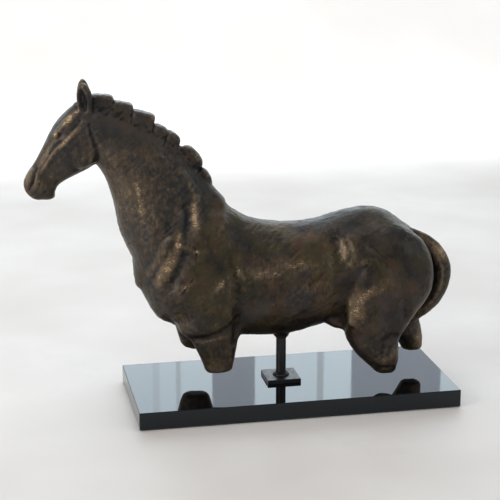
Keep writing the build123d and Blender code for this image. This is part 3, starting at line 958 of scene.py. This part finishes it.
def patinated_bronze():
    """Brown-black patina, worn back to warm metal on the high spots, with a painted highlight in
    the eye.
    """
    g = Graph("patinated_bronze")
    mottle = g.noise(7, 5, 0.68, shift=7.7)
    specks = g.noise(1.3, 2, 0.6, shift=1.3)
    streaks = g.noise(3.2, 4, 0.65, (1, 1, 0.35), (0.3, 0.25, 0), 5.0)
    scratches = g.noise(1.4, 3, 0.7, (0.12, 1, 1), (0.2, -0.6, 0.1), 9.0)
    layers = {name: g.attribute(name) for name in ("crest", "form", "rubbed_and_glint")}
    layers["mottle"], layers["streaks"] = g.centred(mottle), g.centred(streaks)
    layers["grit"] = g.math("ADD", g.centred(specks), g.centred(scratches))

    colour = g.mix(g.between(g.noise(24, 5, 0.62, shift=3.1), 0.40, 0.60), UMBER, BROWN)
    for spacing, shift, low, high, most, tint in PATINA_ZONES:
        share = g.between(g.noise(spacing, 4, 0.6, shift=shift), low, high, 0.0, most)
        colour = g.mix(share, colour, tint)
    for full, end, most, tint in FORWARD_ZONES:
        colour = g.mix(g.between(g.along("X"), full, end, most, 0.0), colour, tint)
    colour = g.mix(g.between(g.total(layers, WEAR), 0.0, 1.1, 0.0, 0.9), colour, WORN_PATINA)
    bright = g.between(g.total(layers, POLISH), 0.75, 1.5)
    # painted highlight: the eye's glint takes this bright bare-metal colour as well as the real
    # worn spots
    colour = g.mix(g.math("MULTIPLY", bright, 0.9), colour, BARE_BRONZE_AND_EYE_GLINT)
    dirt = g.between(layers["crest"], -0.30, -0.02, 0.75, 0.0)
    colour = g.mix(dirt, colour, DIRT)

    metal = g.math("ADD", LEAST_METALLIC, g.math("MULTIPLY", bright, METALLIC_GAIN), clamp=True)
    skin = g.between(mottle, 0.3, 0.7, 0.36, 0.50)
    rough = g.total({"skin": skin, "dirt": dirt, "bright": bright}, ROUGHNESS)
    pores = g.noise(3.2, 4, 0.6, shift=2.0)
    relief = g.total({"pores": pores, "streaks": streaks, "scratches": scratches}, RELIEF)
    normal = g.bump(g.noise(0.9, 2, 0.6), 0.12, 0.6, g.bump(relief, 0.62, 0.9))
    return g.surface(Base_Color=colour, Metallic=metal, Roughness=rough, Normal=normal,
                     Specular_IOR_Level=0.35, Coat_Weight=0.08, Coat_Roughness=0.22)


def polished_stone():
    """Black granite, mirror polished, with a few faint grains."""
    g = Graph("polished_stone")
    grains = g.cells(1.6)
    flecks = g.between(grains, 0.12, 0.05, 0.0, 1.0)
    chosen = g.between(g.noise(5, 1, 0.5), 0.56, 0.62)
    base = g.mix(g.noise(40, 3, 0.5), (0.0020, 0.0019, 0.0024), (0.0038, 0.0036, 0.0044))
    share = g.math("MULTIPLY", g.math("MULTIPLY", flecks, chosen), 0.35)
    base = g.mix(share, base, (0.09, 0.09, 0.10))
    rough = g.between(g.noise(30, 4, 0.6, shift=4.0), 0.3, 0.7, 0.018, 0.045)
    normal = g.bump(g.noise(60, 1, 0.4), 0.02, 0.5)
    return g.surface(Base_Color=base, Roughness=rough, Normal=normal, IOR=1.5,
                     Specular_Tint=(0.82, 0.93, 1.0))


def painted_steel(name="black_painted_steel", orange_peel=0.06):
    """Satin black paint with a little orange peel."""
    g = Graph(name)
    base = g.mix(g.noise(12, 4, 0.6), (0.010, 0.010, 0.011), (0.020, 0.019, 0.020))
    rough = g.between(g.noise(6, 3, 0.6, shift=2.0), 0.3, 0.7, 0.30, 0.44)
    normal = g.bump(g.noise(1.2, 2, 0.5), orange_peel, 0.6)
    return g.surface(Base_Color=base, Metallic=0.2, Roughness=rough, Normal=normal)


def machined_steel(name, dark, light, rough_low, rough_high):
    g = Graph(name)
    base = g.mix(g.noise(3, 3, 0.6), dark, light)
    rough = g.between(g.noise(1.5, 3, 0.6, (1, 1, 8)), 0.3, 0.7, rough_low, rough_high)
    normal = g.bump(g.noise(0.5, 2, 0.5, (1, 1, 6)), 0.02, 0.5)
    return g.surface(Base_Color=base, Metallic=1.0, Roughness=rough, Normal=normal)


def black_felt():
    g = Graph("black_felt")
    fibres = g.noise(0.6, 4, 0.7, (1, 0.25, 1))
    base = g.mix(fibres, (0.010, 0.010, 0.011), (0.035, 0.034, 0.035))
    return g.surface(Base_Color=base, Roughness=0.95, Sheen_Weight=0.4,
                     Normal=g.bump(fibres, 0.3, 0.8))


def paint(thing, material):
    thing.data.materials.clear()
    thing.data.materials.append(material)


# ---- the stand
# The dark and the light tone of each plating.
BLACK_OXIDE = ((0.03, 0.03, 0.032), (0.07, 0.07, 0.075))
ZINC_PLATE = ((0.40, 0.42, 0.44), (0.58, 0.60, 0.62))
DULL_ZINC = ((0.38, 0.40, 0.42), (0.55, 0.57, 0.60))
WELD_INNER = 0.0063                # m, just inside the post's skin
WELD_RIPPLES, WELD_SWELLS = 21, 18


def dress_stand(bronze):
    steel = painted_steel()
    looks = {
        "base_slab": polished_stone(),
        "foot_plate": steel,
        "support_post": steel,
        "felt_sheet": black_felt(),
        "base_bolt": machined_steel("oxide_steel", *BLACK_OXIDE, 0.3, 0.5),
        "set_screw": machined_steel("screw_steel", *BLACK_OXIDE, 0.3, 0.5),
        "flat_washer": machined_steel("zinc_steel", *ZINC_PLATE, 0.28, 0.45),
        "lock_washer": machined_steel("zinc_ring", *DULL_ZINC, 0.3, 0.48),
        "belly_boss": bronze,
    }
    for node, material in looks.items():
        paint(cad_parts[node], material)


def lumpy_weld():
    """The weld bead as a run of overlapping ripples round the post's foot."""
    low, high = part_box("weld_bead")
    middle, outer, tall = (low + high) / 2, (high.x - low.x) / 2, high.z - low.z
    around, across = 220, 10
    swell = np.random.default_rng(12).uniform(-1, 1, WELD_SWELLS)
    verts, faces = [], []
    for i in range(around):
        turn = 2 * pi * i / around
        beat = (turn * WELD_RIPPLES / (2 * pi)) % 1.0
        lump = np.interp(turn / (2 * pi) * (WELD_SWELLS - 1), range(WELD_SWELLS), swell)
        size = 0.93 + 0.07 * lump + 0.09 * (1 - beat) ** 2
        for j in range(across + 1):
            a = pi / 2 * j / across
            bulge = 0.75 + 0.12 * sin(2 * a)
            r = WELD_INNER + (outer - WELD_INNER) * size * (sin(a) * bulge + 0.22 * sin(a) ** 4)
            z = low.z + tall * min(size, 1.06) * (cos(a) * bulge + 0.2 * cos(a) ** 3)
            verts.append((middle.x + r * cos(turn), middle.y + r * sin(turn), z))
        verts.append((middle.x + WELD_INNER * cos(turn), middle.y + WELD_INNER * sin(turn), low.z))
    ring = across + 2
    for i in range(around):
        k = (i + 1) % around
        for j in range(ring):
            m = (j + 1) % ring
            faces.append((i * ring + j, i * ring + m, k * ring + m, k * ring + j))
    weld = new_object("weld_ripples", new_mesh("weld_ripples", verts, faces))
    paint(weld, painted_steel("painted_weld", 0.2))
    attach(weld, "stand")
    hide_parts("weld_bead")


# ---- the room
FLOOR_FRONT, FLOOR_END, FLOOR_HALF_WIDTH = -9.0, 2.4, 9.0
WALL_BEND, WALL_HEIGHT = 0.5, 4.0
FLOOR_TONES = ((0.685, 0.637, 0.594), (0.785, 0.742, 0.702))
FLOOR_CLOUD = (0.60, 0.575, 0.545)
# Panels of light behind the object, as bright daylight and as daylight through sheer cloth:
# left edge, right edge, brightness.
PANES = [
    (-2.97, -1.63, 0.8), (-1.48, -0.42, 0.95), (-0.31, 0.11, 1.32), (0.11, 0.13, 1.1),
    (0.13, 0.178, 1.40), (0.178, 0.192, 0.9), (0.192, 0.285, 1.40), (0.285, 0.412, 0.28),
    (0.412, 0.60, 1.38), (0.60, 0.62, 0.75), (0.62, 0.705, 1.46), (0.705, 0.985, 0.28),
    (0.985, 1.27, 1.3), (1.37, 2.19, 0.7), (2.25, 3.25, 0.85),
]
PANE_Y, PANE_Z, PANE_HEIGHT, PANE_POWER = 2.2, 1.55, 1.9, 9.6
SHEER = 0.5                        # panes no brighter than this are sheer cloth
DAYLIGHT, SHEER_LIGHT = (0.70, 0.88, 1.0), (0.32, 0.58, 1.0)
# Soft lights that face the object: name, place, width, height, power, colour.
SOFT_LIGHTS = [
    ("overhead", (-0.2, 0.3, 2.4), 2.4, 2.0, 19, (0.96, 0.98, 1.0)),
    ("left_fill", (-2.2, -1.0, 1.0), 1.6, 1.4, 26, (1.0, 0.98, 0.95)),
    ("right_fill", (2.2, -1.6, 1.3), 1.6, 1.4, 13, (1.0, 0.98, 0.95)),
]
LIT_POINT = (0, 0, 0.2)
AMBIENT, AMBIENT_STRENGTH = (0.88, 0.91, 0.95, 1), 0.45
LENS_MM, SENSOR_MM = 103.4, 36.0
CAMERA_AT = (-0.3940, -1.6969, 0.6592)
CAMERA_AZIMUTH, CAMERA_ELEVATION = radians(-11.48), radians(15.01)


def sweep():
    """A pale floor that curves up into a white backdrop behind the object, lit by the lamps;
    towards the back the floor and the backdrop also glow, painted light that makes them brighter.
    """
    bend = [(FLOOR_END + WALL_BEND * sin(a), WALL_BEND - WALL_BEND * cos(a))
            for a in np.linspace(0.1, pi / 2, 14)]
    profile = [(FLOOR_FRONT, 0.0), (FLOOR_END, 0.0), *bend, (FLOOR_END + WALL_BEND, WALL_HEIGHT)]
    verts = [(x, y, z) for x in (-FLOOR_HALF_WIDTH, FLOOR_HALF_WIDTH) for y, z in profile]
    n = len(profile)
    faces = [(n + i, n + i + 1, i + 1, i) for i in range(n - 1)]
    thing = new_object("floor_sweep", new_mesh("floor_sweep", verts, faces))
    g = Graph("pale_floor")
    veins = g.mix(g.between(g.noise(320, 6, 0.6), 0.35, 0.65), *FLOOR_TONES)
    tone = g.mix(g.between(g.noise(40, 6, 0.7), 0.3, 0.7, 0.0, 0.25), veins, FLOOR_CLOUD)
    # painted light: the floor glows more towards the back, and the backdrop glows, though neither
    # is a lamp
    painted_backdrop_light = g.between(g.along("Y"), 1.1, 1.8, 0.0, 0.5)
    paint(thing, g.surface(Base_Color=tone, Roughness=0.5, Emission_Color=(0.97, 0.99, 1.0),
                           Emission_Strength=painted_backdrop_light, Normal=g.bump(g.noise(5, 3, 0.5), 0.05, 0.3)))


def soft_light(name, spot, target, width, height, power, colour):
    light = bpy.data.lights.new(name, "AREA")
    light.shape, light.size, light.size_y = "RECTANGLE", width, height
    light.energy, light.color = power, colour
    thing = new_object(name, light)
    thing.location = spot
    thing.rotation_euler = (Vector(target) - Vector(spot)).to_track_quat("-Z", "Y").to_euler()
    thing.visible_camera = False


def room():
    sweep()
    for n, (left, right, share) in enumerate(PANES):
        x, width = (left + right) / 2, right - left
        soft_light(f"window_{n}", (x, PANE_Y, PANE_Z), (x, 0, PANE_Z), width, PANE_HEIGHT,
                   PANE_POWER * share * width, DAYLIGHT if share > SHEER else SHEER_LIGHT)
    for name, spot, width, height, power, colour in SOFT_LIGHTS:
        soft_light(name, spot, LIT_POINT, width, height, power, colour)
    world = bpy.data.worlds.new("soft_room")
    world.use_nodes = True
    background = world.node_tree.nodes["Background"]
    background.inputs["Color"].default_value = AMBIENT
    background.inputs["Strength"].default_value = AMBIENT_STRENGTH
    bpy.context.scene.world = world
    bpy.context.scene.view_settings.view_transform = "Standard"


def camera():
    lens = bpy.data.cameras.new("camera")
    lens.sensor_width, lens.lens = SENSOR_MM, LENS_MM
    thing = new_object("camera", lens)
    back = Vector((sin(CAMERA_AZIMUTH) * cos(CAMERA_ELEVATION),
                   -cos(CAMERA_AZIMUTH) * cos(CAMERA_ELEVATION), sin(CAMERA_ELEVATION)))
    thing.location = CAMERA_AT
    thing.rotation_euler = (-back).to_track_quat("-Z", "Y").to_euler()
    bpy.context.scene.camera = thing


camera()
room()
bronze = patinated_bronze()
dress_stand(bronze)
lumpy_weld()
for cast in horse():
    paint(cast, bronze)
